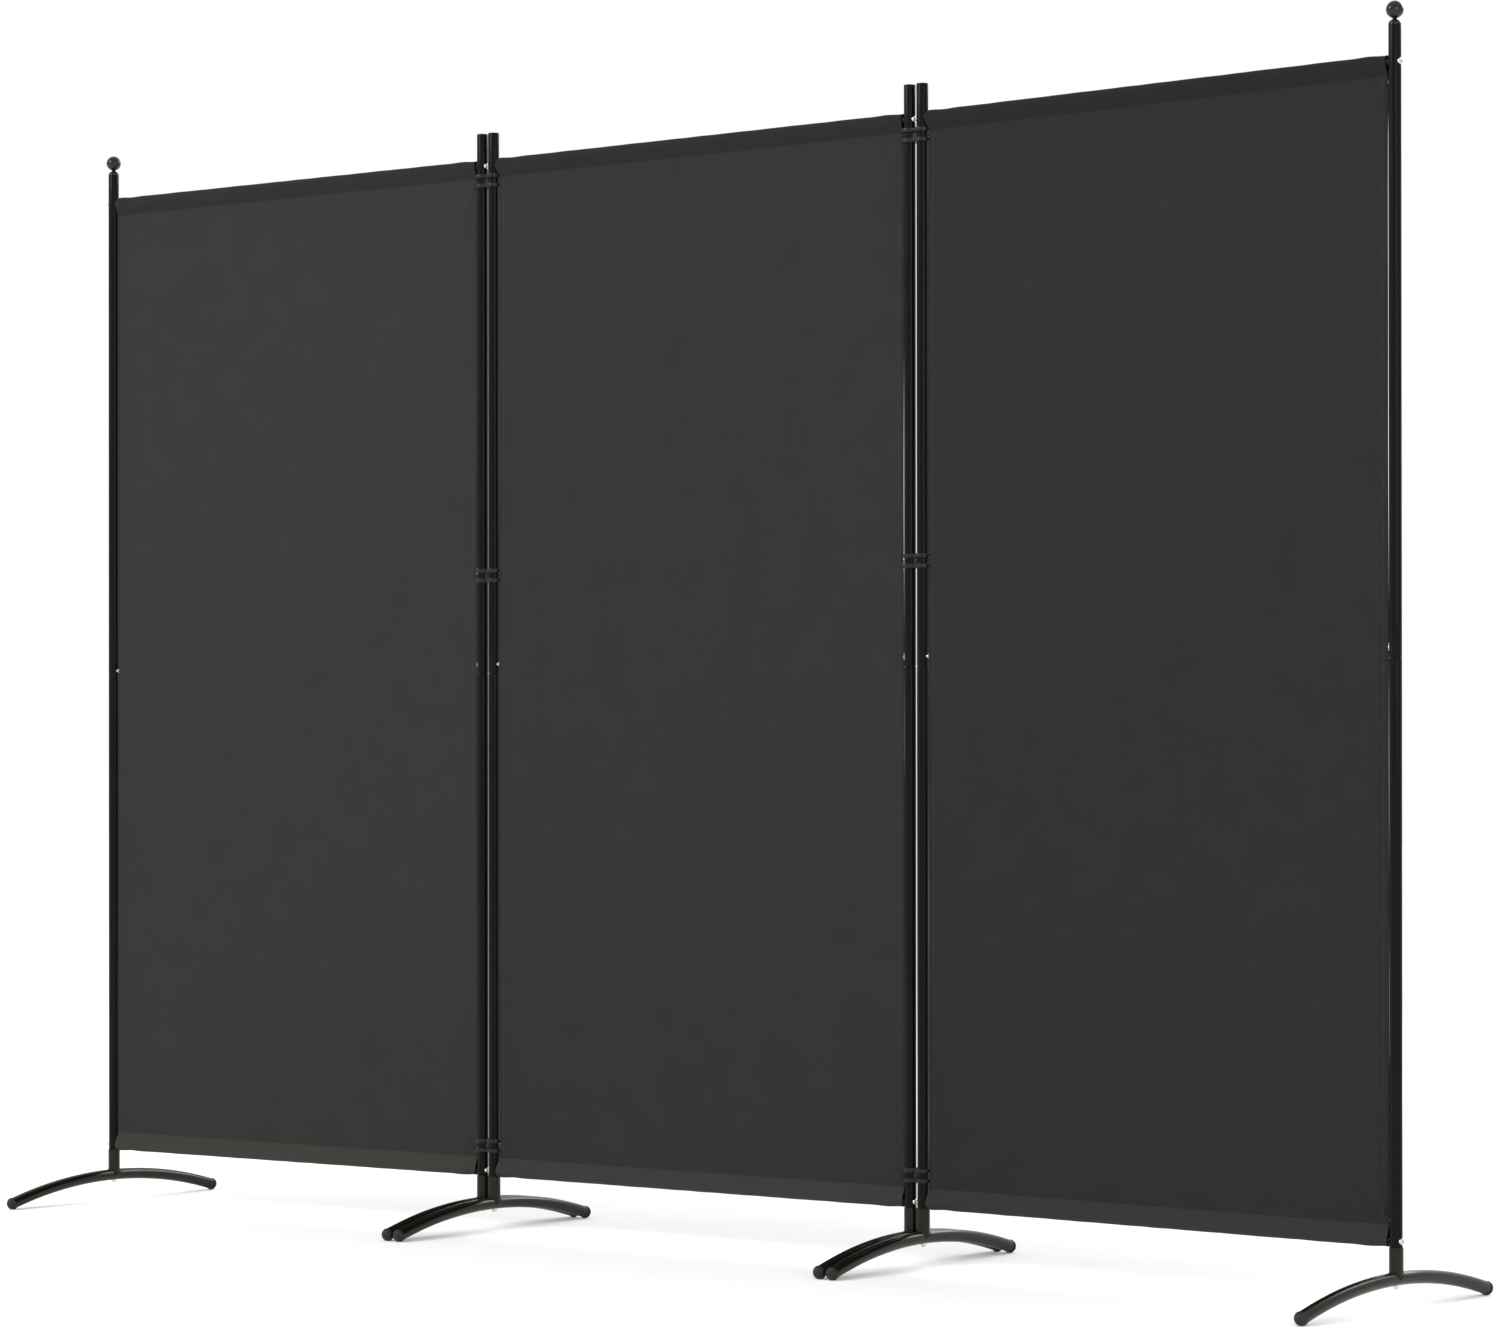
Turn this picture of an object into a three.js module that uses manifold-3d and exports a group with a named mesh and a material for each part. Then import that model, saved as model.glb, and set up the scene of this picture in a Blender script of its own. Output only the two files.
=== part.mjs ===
// Folding room divider screen: three cloth panels on frames of steel tube, joined by swivel clips.
// Millimetres, +Z up. X runs along the middle panel, the front is towards -Y and the floor is Z = 0.
import * as THREE from "three";
import { mergeVertices } from "three/addons/utils/BufferGeometryUtils.js";
import Module from "manifold-3d";

const wasm = await Module();
wasm.setup();

// Panels and posts
const panelWidth = 840; // between the axes of a panel's two posts
const postHeight = 1781; // floor to the top of a post's end plug
const postDiameter = 18;
const postGap = 6; // between the two posts of a junction, room for the low heads of the bar bolts
const tubeWall = 1;
const jointHeight = 903; // where a post's upper tube stands on its lower tube
const swageLength = 45; // narrow end of the lower tube, inside the upper tube
const swageWall = 0.9;
const swageTaper = 5; // length over which the lower tube narrows inside

// Bars and the bolts that hold them
const barDiameter = 13;
const topBarDrop = 52.5; // top of the post down to the top bar's axis
const bottomBarHeight = 95; // floor to the bottom bar's axis
const insertLength = 12; // threaded insert welded in the end of a bar or post
const tapDiameter = 5; // tapped hole of an insert
const boltHoleDiameter = 6.6;

// Feet
const footSpan = 487; // from tip to tip
const footDiameter = 19;
const footWall = 1;
const archHeight = 43; // floor to the foot tube's axis under the post
const socketRise = 34; // socket tube above the foot tube
const socketWall = 0.8;
const saddle = 0.8; // weld between the foot tube and the floor of the socket
const capLip = 1; // how far a foot cap stands out round its tube
const capPress = 0.5; // depth of the flat that a foot cap stands on
const capStem = 12;

// Swivel clips
const clipHeight = 22;
const bandHeight = 6.5; // each of a clip's two bands
const bandWall = 3.1;
const bandWaist = 13; // front to back between the two posts
const clipWeb = 8; // front to back of the web between the bands
const topClipDrop = 24.6; // top bar's axis down to the middle of the top clip
const middleClipRise = 159; // post joint up to the middle of the middle clip
const bottomClipRise = 41; // bottom bar's axis up to the middle of the bottom clip

// Snap buttons that lock the post joints
const buttonDiameter = 5.6;
const buttonProud = 2.7; // out of the tube
const buttonRise = 15; // above the post joint
const buttonDome = 1.2; // height of the rounded end
const flangeDiameter = 7.6;
const flangeThickness = 1;

// Cloth
const clothThickness = 1.6;
const sleeveSlack = 0.8; // between a bar and the sleeve round it
const sleeveDepth = 30; // edge of the cloth to the sleeve's seam
const topSleeveLift = 1.6; // how far the top sleeve stands higher than the bar needs
const sleeveShoulder = 5; // straight sides of a sleeve, below its round

// Ends of the posts
const plugThickness = 1.5;
const plugStem = 14;
const plugCrown = 0.6; // rounding of a flat plug's edge
const ballDiameter = 25;
const neckDiameter = 9;
const neckHeight = 7;

// How the screen stands: degrees that each wing comes forward, and that each foot is turned
const leftFold = 1.5;
const rightFold = 2.6;
const leftEndFootTurn = -0.5;
const leftPairFootTurn = 1.6;
const rightPairFootTurn = 1.5;
const rightEndFootTurn = -2.4;

const clearance = 0.3; // between pieces that touch or slide
const buttonClearance = 0.3;
const clipClearance = 0.9; // between a clip and the cloth
const overcut = 2; // how far a cutting solid reaches past what it cuts
const postSides = 16;
const footSides = 12;
const barSides = 12;
const clipSides = 12;
const holeSides = 10;
const archSteps = 10;

// Worked out from the sizes above
const postRadius = postDiameter / 2;
const postBore = postRadius - tubeWall;
const postSpacing = postDiameter + postGap;
const tubeTop = postHeight - plugThickness;
const topBarHeight = postHeight - topBarDrop;
const footRadius = footDiameter / 2;
const capRadius = footRadius + capLip;
const footEndHeight = capRadius - capPress;
const footEndRun = footSpan / 2 - capRadius;
const archSag = archHeight - footEndHeight;
const archRadius = (footEndRun ** 2 + archSag ** 2) / (2 * archSag);
const archAngle = Math.asin(footEndRun / archRadius);
const socketFloor = archHeight + footRadius + saddle;
const socketTop = archHeight + footRadius + socketRise;
const socketBore = postRadius + clearance;
const clipBore = (postRadius + clearance / 2) / flats(1, clipSides);
const clipRadius = clipBore + bandWall;
const sleeveRadius = barDiameter / 2 + sleeveSlack + clothThickness;
const clothEdge = postRadius + buttonProud + clearance; // from the post's axis
const clipHeights = {
  bottom: bottomBarHeight + bottomClipRise,
  middle: jointHeight + middleClipRise,
  top: topBarHeight - topClipDrop,
};

const blackSteel = new THREE.MeshStandardMaterial({ color: 0x1b1c18, roughness: 0.28, metalness: 0.3 });
const blackPlastic = new THREE.MeshStandardMaterial({ color: 0x24251f, roughness: 0.5, metalness: 0 });
const zinc = new THREE.MeshStandardMaterial({ color: 0xd8d9d6, roughness: 0.25, metalness: 1 });
const greyCloth = new THREE.MeshStandardMaterial({ color: 0x3a3a3a, roughness: 0.95, metalness: 0 });

// The distance from the axis to the flats of a faceted bore.
function flats(radius, sides) {
  return radius * Math.cos(Math.PI / sides);
}

// A solid turned about the upright axis, from pairs of radius and height.
function turned(profile, sides) {
  const points = profile.map(([radius, height]) => new THREE.Vector2(radius, height));
  return new THREE.LatheGeometry(points, sides).rotateX(Math.PI / 2);
}

// Pairs of radius and height round an arc, with angles in degrees above the horizontal.
function arcPairs(radius, height, from, to, steps) {
  return Array.from({ length: steps + 1 }, (_, i) => {
    const angle = THREE.MathUtils.degToRad(from + ((to - from) * i) / steps);
    return [Math.max(0, radius * Math.cos(angle)), height + radius * Math.sin(angle)];
  });
}

function cylinderAlongX(diameter, from, to, height) {
  const geometry = new THREE.CylinderGeometry(diameter / 2, diameter / 2, to - from, holeSides);
  return geometry.rotateZ(Math.PI / 2).translate((from + to) / 2, 0, height);
}

function box(sizeX, sizeY, sizeZ, x, y, z) {
  return new THREE.BoxGeometry(sizeX, sizeY, sizeZ).translate(x, y, z);
}

function solid(geometry) {
  const bare = geometry.clone();
  bare.deleteAttribute("normal");
  bare.deleteAttribute("uv");
  const merged = mergeVertices(bare, 1e-4);
  const vertProperties = merged.attributes.position.array;
  const triVerts = new Uint32Array(merged.index.array);
  return new wasm.Manifold(new wasm.Mesh({ numProp: 3, vertProperties, triVerts }));
}

function geometryOf(manifold) {
  const mesh = manifold.getMesh();
  const geometry = new THREE.BufferGeometry();
  geometry.setAttribute("position", new THREE.BufferAttribute(mesh.vertProperties, 3));
  geometry.setIndex(new THREE.BufferAttribute(mesh.triVerts, 1));
  geometry.computeVertexNormals();
  return geometry;
}

// The hole through both walls of a post for the bolt of a bar.
function boltHole(height) {
  const reach = postRadius + overcut;
  return solid(cylinderAlongX(boltHoleDiameter, -reach, reach, height));
}

// The hole for the snap button, on the side of the post that faces its own panel.
function buttonHole() {
  const diameter = buttonDiameter + 2 * buttonClearance;
  return solid(cylinderAlongX(diameter, 0, postRadius + overcut, jointHeight + buttonRise));
}

function upperTube() {
  const profile = [
    [postBore, jointHeight],
    [postRadius, jointHeight],
    [postRadius, tubeTop],
    [postBore, tubeTop],
    [postBore, jointHeight],
  ];
  const tube = solid(turned(profile, postSides));
  return geometryOf(tube.subtract(boltHole(topBarHeight)).subtract(buttonHole()));
}

// The lower tube, with its swaged top end and the threaded insert for the foot bolt at its bottom end.
function lowerTube() {
  const bottom = socketFloor + clearance;
  const shoulder = jointHeight - clearance;
  const swageRadius = flats(postBore, postSides) - clearance;
  const swageBore = swageRadius - swageWall;
  const profile = [
    [tapDiameter / 2, bottom],
    [postRadius, bottom],
    [postRadius, shoulder],
    [swageRadius, shoulder],
    [swageRadius, jointHeight + swageLength],
    [swageBore, jointHeight + swageLength],
    [swageBore, shoulder - swageTaper],
    [postBore, shoulder - 2 * swageTaper],
    [postBore, bottom + insertLength],
    [tapDiameter / 2, bottom + insertLength],
    [tapDiameter / 2, bottom],
  ];
  const tube = solid(turned(profile, postSides));
  return geometryOf(tube.subtract(boltHole(bottomBarHeight)).subtract(buttonHole()));
}

// A bar between the two posts, with a threaded insert welded in each end.
function bar() {
  const length = panelWidth - 2 * (postRadius + clearance);
  const radius = barDiameter / 2;
  const bore = radius - tubeWall;
  const tap = tapDiameter / 2;
  const profile = [
    [tap, 0],
    [radius, 0],
    [radius, length],
    [tap, length],
    [tap, length - insertLength],
    [bore, length - insertLength],
    [bore, insertLength],
    [tap, insertLength],
    [tap, 0],
  ];
  return turned(profile, barSides).rotateY(Math.PI / 2).translate(-length / 2, 0, 0);
}

// A rod along X with a sleeve's outline: round on top, with short straight sides, closing at the seam below.
function sleeveRod(length, halfWidth, seamDrop, seamHalfWidth) {
  const outline = new THREE.Shape();
  outline.moveTo(-seamHalfWidth, -seamDrop);
  outline.lineTo(-halfWidth, -sleeveShoulder);
  outline.absarc(0, 0, halfWidth, Math.PI, 0, true);
  outline.lineTo(halfWidth, -sleeveShoulder);
  outline.lineTo(seamHalfWidth, -seamDrop);
  const rod = new THREE.ExtrudeGeometry(outline, { depth: length, bevelEnabled: false, curveSegments: 8 });
  const alongX = new THREE.Matrix4().makeBasis(
    new THREE.Vector3(0, 1, 0),
    new THREE.Vector3(0, 0, 1),
    new THREE.Vector3(1, 0, 0),
  );
  return solid(rod.applyMatrix4(alongX).translate(-length / 2, 0, 0));
}

// A sleeve along X, open at both ends, with its round centred on the origin.
function sleeve(width) {
  const seamDrop = sleeveDepth - sleeveRadius;
  const inner = sleeveRadius - clothThickness;
  const outside = sleeveRod(width, sleeveRadius, seamDrop, clothThickness / 2);
  return outside.subtract(sleeveRod(width + 2 * overcut, inner, seamDrop - clothThickness, 0.1));
}

// The cloth of a panel: a sheet with a sleeve round each bar, cut away where the clips hold the posts.
function cloth() {
  const width = panelWidth - 2 * clothEdge;
  const top = sleeve(width).translate([0, 0, topBarHeight + topSleeveLift]);
  const bottom = sleeve(width).rotate([180, 0, 0]).translate([0, 0, bottomBarHeight]);
  const topSeam = topBarHeight + topSleeveLift + sleeveRadius - sleeveDepth + clothThickness;
  const bottomSeam = bottomBarHeight - sleeveRadius + sleeveDepth - clothThickness;
  const middle = (topSeam + bottomSeam) / 2;
  let piece = solid(box(width, clothThickness, topSeam - bottomSeam, 0, 0, middle));
  piece = piece.add(top).add(bottom);
  const notch = 2 * (clipRadius + clipClearance);
  for (const height of Object.values(clipHeights)) {
    for (const x of [-panelWidth / 2, panelWidth / 2]) {
      const cut = box(notch, notch, clipHeight + 2 * clipClearance, x, 0, height);
      piece = piece.subtract(solid(cut));
    }
  }
  return geometryOf(piece);
}

// A snap button, pointing along +X from the axis of its post, with the flange that keeps it in the tube.
function button() {
  const radius = buttonDiameter / 2;
  const flange = flangeDiameter / 2;
  const swageRadius = flats(postBore, postSides) - clearance;
  const bore = flats(swageRadius - swageWall, postSides);
  const seat = Math.sqrt(bore ** 2 - flange ** 2) - clearance;
  const tip = postRadius + buttonProud;
  const profile = [
    [0, seat - flangeThickness],
    [flange, seat - flangeThickness],
    [flange, seat],
    [radius, seat],
    [radius, tip - buttonDome],
    [radius - buttonDome, tip],
    [0, tip],
  ];
  return turned(profile, holeSides).rotateY(Math.PI / 2);
}

// A clip that holds two neighbouring posts, from the post at its origin to the one at +X.
function clip() {
  const bandOffset = (clipHeight - bandHeight) / 2;
  const ring = [
    [0, -bandHeight / 2],
    [clipRadius, -bandHeight / 2],
    [clipRadius, bandHeight / 2],
    [0, bandHeight / 2],
  ];
  let piece = solid(box(postSpacing, clipWeb, clipHeight, postSpacing / 2, 0, 0));
  for (const z of [-bandOffset, bandOffset]) {
    piece = piece.add(solid(box(postSpacing, bandWaist, bandHeight, postSpacing / 2, 0, z)));
    for (const x of [0, postSpacing]) {
      piece = piece.add(solid(turned(ring, clipSides).translate(x, 0, z)));
    }
  }
  const reach = clipHeight / 2 + overcut;
  const bore = [
    [0, -reach],
    [clipBore, -reach],
    [clipBore, reach],
    [0, reach],
  ];
  for (const x of [0, postSpacing]) {
    piece = piece.subtract(solid(turned(bore, clipSides).translate(x, 0, 0)));
  }
  return geometryOf(piece);
}

// The arch of a foot's axis, in the YZ plane, with its top under the post.
class FootArch extends THREE.Curve {
  constructor(halfAngle) {
    super();
    this.halfAngle = halfAngle;
  }

  getPoint(t, target = new THREE.Vector3()) {
    const angle = (2 * t - 1) * this.halfAngle;
    const drop = archRadius * (1 - Math.cos(angle));
    return target.set(0, archRadius * Math.sin(angle), archHeight - drop);
  }
}

function archedRod(radius, halfAngle) {
  const section = new THREE.Shape().absarc(0, 0, radius, 0, 2 * Math.PI);
  const settings = {
    extrudePath: new FootArch(halfAngle),
    steps: archSteps,
    curveSegments: footSides / 2, // a full circle gets two sides for each
    bevelEnabled: false,
  };
  return solid(new THREE.ExtrudeGeometry(section, settings));
}

// A foot: an arched tube with a short socket welded on its top for the post.
function foot() {
  const socketRadius = socketBore + socketWall;
  const weld = [
    [0, archHeight + saddle],
    [socketRadius, archHeight + saddle],
    [socketRadius, socketTop],
    [0, socketTop],
  ];
  const bore = [
    [0, socketFloor],
    [socketBore, socketFloor],
    [socketBore, socketTop + overcut],
    [0, socketTop + overcut],
  ];
  const hole = [
    [0, archHeight - footRadius - overcut],
    [boltHoleDiameter / 2, archHeight - footRadius - overcut],
    [boltHoleDiameter / 2, socketFloor + overcut],
    [0, socketFloor + overcut],
  ];
  const tube = archedRod(footRadius, archAngle).add(solid(turned(weld, postSides)));
  const hollow = archedRod(footRadius - footWall, archAngle + overcut / archRadius);
  return geometryOf(
    tube
      .subtract(hollow)
      .subtract(solid(turned(bore, postSides)))
      .subtract(solid(turned(hole, holeSides))),
  );
}

// The cap in a foot's back end: a domed head with a stem in the tube, flat where it stands on the floor.
function footCap() {
  const stem = flats(footRadius - footWall, footSides) - clearance;
  const profile = [
    [0, -capStem],
    [stem, -capStem],
    [stem, clearance],
    [capRadius, clearance],
    ...arcPairs(capRadius, 0, 22.5, 90, 3),
  ];
  const cap = turned(profile, footSides).rotateX(-Math.PI / 2 - archAngle);
  const floor = box(4 * capRadius, 4 * capRadius, capRadius, 0, footEndRun, -capRadius / 2);
  return geometryOf(solid(cap.translate(0, footEndRun, footEndHeight)).subtract(solid(floor)));
}

// The part of a plug or finial that sits in the tube, up to its rim on the tube's end.
function plugStemPairs() {
  const stem = flats(postBore, postSides) - clearance;
  return [
    [0, tubeTop - plugStem],
    [stem, tubeTop - plugStem],
    [stem, tubeTop + clearance],
    [postRadius, tubeTop + clearance],
  ];
}

function flatPlug() {
  const profile = [
    ...plugStemPairs(),
    [postRadius, postHeight - plugCrown],
    [postRadius - plugCrown, postHeight],
    [0, postHeight],
  ];
  return turned(profile, postSides);
}

function ballFinial() {
  const ballRadius = ballDiameter / 2;
  const neck = neckDiameter / 2;
  const centre = postHeight + neckHeight + ballRadius;
  const start = -THREE.MathUtils.radToDeg(Math.acos(neck / ballRadius));
  const profile = [
    ...plugStemPairs(),
    [postRadius, postHeight],
    [neck, postHeight],
    ...arcPairs(ballRadius, centre, start, 90, 8),
  ];
  return turned(profile, postSides);
}

const shapes = {
  upperTube: upperTube(),
  lowerTube: lowerTube(),
  bar: bar(),
  cloth: cloth(),
  button: button(),
  clip: clip(),
  foot: foot(),
  footCap: footCap(),
  flatPlug: flatPlug(),
  ballFinial: ballFinial(),
};

function part(name, geometry, material) {
  const mesh = new THREE.Mesh(geometry, material);
  mesh.name = name;
  return mesh;
}

// A foot and its caps at the foot of a post, turned by an angle in degrees.
function standingFoot(name, turn) {
  const group = new THREE.Group();
  group.rotation.z = THREE.MathUtils.degToRad(turn);
  const front = part(`${name}_front_cap`, shapes.footCap, blackPlastic);
  front.rotation.z = Math.PI;
  group.add(part(name, shapes.foot, blackSteel), front);
  group.add(part(`${name}_back_cap`, shapes.footCap, blackPlastic));
  return group;
}

// A post with its snap button, whose +X side faces its own panel.
function post(name, topName, topShape) {
  const group = new THREE.Group();
  group.add(part(`${name}_upper_tube`, shapes.upperTube, blackSteel));
  group.add(part(`${name}_lower_tube`, shapes.lowerTube, blackSteel));
  group.add(part(`${name}_${topName}`, topShape, blackPlastic));
  const snap = part(`${name}_button`, shapes.button, zinc);
  snap.position.z = jointHeight + buttonRise;
  group.add(snap);
  return group;
}

// A panel centred on its own origin and turned by an angle in degrees.
// Each end is the turn of its foot, and whether a ball finial tops its post.
function panel(name, turn, ends) {
  const group = new THREE.Group();
  group.rotation.z = THREE.MathUtils.degToRad(turn);
  for (const [side, end] of Object.entries(ends)) {
    const x = side === "left" ? -panelWidth / 2 : panelWidth / 2;
    const topShape = end.ball ? shapes.ballFinial : shapes.flatPlug;
    const standing = post(`${name}_${side}_post`, end.ball ? "finial" : "plug", topShape);
    standing.position.x = x;
    standing.rotation.z = side === "left" ? 0 : Math.PI;
    const base = standingFoot(`${name}_${side}_foot`, end.footTurn - turn);
    base.position.x = x;
    group.add(standing, base);
  }
  for (const [level, height] of [["top", topBarHeight], ["bottom", bottomBarHeight]]) {
    const rail = part(`${name}_${level}_bar`, shapes.bar, blackSteel);
    rail.position.z = height;
    group.add(rail);
  }
  group.add(part(`${name}_cloth`, shapes.cloth, greyCloth));
  return group;
}

// The three clips of a junction, reaching along +X from the post at their origin.
function clips(name, turn) {
  const group = new THREE.Group();
  group.rotation.z = THREE.MathUtils.degToRad(turn);
  for (const [level, height] of Object.entries(clipHeights)) {
    const swivel = part(`${name}_${level}_clip`, shapes.clip, blackPlastic);
    swivel.position.z = height;
    group.add(swivel);
  }
  return group;
}

// The axis of the post that a wing is hinged on, and the wing's centre, for a wing on side -1 or +1.
function wingPlace(side, fold) {
  const half = THREE.MathUtils.degToRad(fold / 2);
  const whole = THREE.MathUtils.degToRad(fold);
  const hinge = new THREE.Vector3(
    side * (panelWidth / 2 + postSpacing * Math.cos(half)),
    -postSpacing * Math.sin(half),
    0,
  );
  const reach = new THREE.Vector3(side * Math.cos(whole), -Math.sin(whole), 0);
  return { hinge, centre: hinge.clone().addScaledVector(reach, panelWidth / 2) };
}

const screen = new THREE.Group();
const leftWing = wingPlace(-1, leftFold);
const rightWing = wingPlace(1, rightFold);

const middlePanel = panel("middle_panel", 0, {
  left: { footTurn: leftPairFootTurn, ball: false },
  right: { footTurn: rightPairFootTurn, ball: false },
});
const leftPanel = panel("left_panel", leftFold, {
  left: { footTurn: leftEndFootTurn, ball: true },
  right: { footTurn: leftPairFootTurn, ball: false },
});
const rightPanel = panel("right_panel", -rightFold, {
  left: { footTurn: rightPairFootTurn, ball: false },
  right: { footTurn: rightEndFootTurn, ball: true },
});
leftPanel.position.copy(leftWing.centre);
rightPanel.position.copy(rightWing.centre);

const leftClips = clips("left_junction", leftFold / 2);
const rightClips = clips("right_junction", -rightFold / 2);
leftClips.position.copy(leftWing.hinge);
rightClips.position.x = panelWidth / 2;

screen.add(middlePanel, leftPanel, rightPanel, leftClips, rightClips);

// The middle panel stands back, so that the origin is midway between the frontmost and backmost feet.
const wingReach = Math.max(
  -2 * leftWing.centre.y + leftWing.hinge.y,
  -2 * rightWing.centre.y + rightWing.hinge.y,
);
screen.position.y = wingReach / 2;

export default screen;
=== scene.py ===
import math

import bmesh
import bpy
import numpy as np
from mathutils import Matrix, Vector


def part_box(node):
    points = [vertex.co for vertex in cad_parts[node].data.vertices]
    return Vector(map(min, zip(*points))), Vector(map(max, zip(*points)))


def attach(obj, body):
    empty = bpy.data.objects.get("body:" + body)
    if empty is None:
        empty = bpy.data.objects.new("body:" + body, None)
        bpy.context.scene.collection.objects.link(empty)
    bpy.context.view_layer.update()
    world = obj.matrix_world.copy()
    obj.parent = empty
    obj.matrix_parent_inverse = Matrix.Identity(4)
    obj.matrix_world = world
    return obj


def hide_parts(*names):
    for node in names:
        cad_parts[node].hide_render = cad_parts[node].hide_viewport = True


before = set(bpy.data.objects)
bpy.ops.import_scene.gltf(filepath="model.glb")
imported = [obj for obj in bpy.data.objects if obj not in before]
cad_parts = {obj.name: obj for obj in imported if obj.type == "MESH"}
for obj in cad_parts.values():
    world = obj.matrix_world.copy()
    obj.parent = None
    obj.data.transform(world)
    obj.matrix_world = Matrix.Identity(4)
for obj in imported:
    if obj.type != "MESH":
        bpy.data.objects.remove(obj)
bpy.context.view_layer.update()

# Folding room divider screen: three charcoal cloth panels on frames of gloss black tube.
# Blender works in metres; the sizes in the dictionaries are millimetres and go through mm().
mm = lambda value: value / 1000
panelNames = ["left_panel", "middle_panel", "right_panel"]
sideNames = ["left", "right"]
posts = [(panel, side) for panel in panelNames for side in sideNames]


def addNode(tree, kind, settings=None, links=None):
    # one node, its settings by socket name or attribute, and the sockets that feed it
    node = tree.nodes.new(kind)
    for name, value in (settings or {}).items():
        if isinstance(name, int) or name in node.inputs:
            node.inputs[name].default_value = value
        else:
            setattr(node, name, value)
    for name, source in (links or {}).items():
        tree.links.new(source, node.inputs[name])
    return node


def linear(hexColour):
    # sRGB hex such as "3a3a3a" to linear red, green, blue and a full alpha
    parts = [int(hexColour[i:i + 2], 16) / 255 for i in (0, 2, 4)]
    return (*[p / 12.92 if p <= 0.04045 else ((p + 0.055) / 1.055) ** 2.4 for p in parts], 1.0)


def newMaterial(name):
    # an empty material with only an output, and its node tree
    material = bpy.data.materials.new(name)
    material.use_nodes = True
    material.node_tree.nodes.clear()
    return material, material.node_tree


def finishMaterial(tree, settings, links):
    shader = addNode(tree, "ShaderNodeBsdfPrincipled", settings, links)
    addNode(tree, "ShaderNodeOutputMaterial", links={"Surface": shader.outputs[0]})


# Places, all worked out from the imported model

def boxCentre(node):
    low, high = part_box(node)
    return (low + high) / 2


def axisOf(panel, side):
    centre = boxCentre(f"{panel}_{side}_post_lower_tube")
    return Vector((centre.x, centre.y, 0))


def standing(origin, towards):
    # a frame on the floor at origin, whose X points towards a second place
    reach = towards - origin
    return Matrix.Translation(origin) @ Matrix.Rotation(math.atan2(reach.y, reach.x), 4, "Z")


def otherSide(side):
    return "right" if side == "left" else "left"


def postFrame(panel, side):
    # X points from the post into its own panel
    return standing(axisOf(panel, side), axisOf(panel, otherSide(side)))


def panelFrame(panel):
    left, right = axisOf(panel, "left"), axisOf(panel, "right")
    return standing((left + right) / 2, right)


def footFrame(panel, side):
    # Y runs along the foot to its back end
    front = boxCentre(f"{panel}_{side}_foot_front_cap")
    back = boxCentre(f"{panel}_{side}_foot_back_cap")
    turn = math.atan2(back.y - front.y, back.x - front.x) - math.pi / 2
    return Matrix.Translation(axisOf(panel, side)) @ Matrix.Rotation(turn, 4, "Z")


panelSpan = (axisOf("middle_panel", "right") - axisOf("middle_panel", "left")).length
barHeights = {level: boxCentre(f"middle_panel_{level}_bar").z for level in ("top", "bottom")}
upperLow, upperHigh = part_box("middle_panel_left_post_upper_tube")
lowerLow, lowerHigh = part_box("middle_panel_left_post_lower_tube")
jointHeight, tubeTop = upperLow.z, upperHigh.z
buttonHeight = boxCentre("middle_panel_left_post_button").z


# Camera: about chair height, in front of the screen and to its right, with a long lens

view = {"place": (4.4911, -5.4951, 0.7601), "yaw": 38.46, "pitch": 0.155, "roll": -0.046,
        "lens": 108.93, "sensor": 36, "shift": 0.0563}
cameraData = bpy.data.cameras.new("camera")
cameraData.lens = view["lens"]
cameraData.sensor_width = view["sensor"]
cameraData.sensor_fit = "HORIZONTAL"
cameraData.shift_y = view["shift"]
cameraData.clip_end = 100
camera = bpy.data.objects.new("camera", cameraData)
bpy.context.scene.collection.objects.link(camera)
camera.matrix_world = (
    Matrix.Translation(view["place"])
    @ Matrix.Rotation(math.radians(view["yaw"]), 4, "Z")
    @ Matrix.Rotation(math.radians(90 + view["pitch"]), 4, "X")
    @ Matrix.Rotation(math.radians(view["roll"]), 4, "Z")
)
bpy.context.scene.camera = camera
bpy.context.scene.view_settings.view_transform = "Standard"

# White room: an even white surround and a few large soft lamps

world = bpy.data.worlds.new("whiteRoom")
world.use_nodes = True
world.node_tree.nodes.clear()
surround = addNode(world.node_tree, "ShaderNodeBackground", {"Color": (1, 1, 1, 1), "Strength": 1.0})
addNode(world.node_tree, "ShaderNodeOutputWorld", links={"Surface": surround.outputs[0]})
bpy.context.scene.world = world


def softLamp(name, place, target, size, watts):
    lamp = bpy.data.lights.new(name, "AREA")
    lamp.shape = "RECTANGLE"
    lamp.size, lamp.size_y = size
    lamp.energy = watts
    lampObject = bpy.data.objects.new(name, lamp)
    aim = Vector(target) - Vector(place)
    lampObject.matrix_world = Matrix.Translation(place) @ aim.to_track_quat("-Z", "Y").to_matrix().to_4x4()
    bpy.context.scene.collection.objects.link(lampObject)


softLamp("keyLamp", (-2.6, -5.0, 4.2), (0, 0, 0.9), (2.4, 2.4), 160)
softLamp("fillLamp", (6.0, -3.0, 2.4), (0, 0, 0.9), (3.0, 3.0), 60)
softLamp("backLamp", (1.0, 5.0, 4.0), (0, 0, 1.0), (4.0, 2.0), 120)


def floorMaterial():
    # matt white floor paint: nearly shadowless under the white surround
    material, tree = newMaterial("mattWhiteFloorPaint")
    place = addNode(tree, "ShaderNodeTexCoord").outputs["Object"]
    mottle = addNode(tree, "ShaderNodeTexNoise", {"Scale": 1.5}, {"Vector": place})
    tone = addNode(tree, "ShaderNodeValToRGB", links={"Fac": mottle.outputs[0]})
    tone.color_ramp.elements[0].color = linear("f8f8f8")
    tone.color_ramp.elements[1].color = linear("fdfdfd")
    finishMaterial(tree, {"Roughness": 0.9, "Specular IOR Level": 0.1, "Emission Strength": 0.14,
                          "Emission Color": (1, 1, 1, 1)}, {"Base Color": tone.outputs[0]})
    return material


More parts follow.
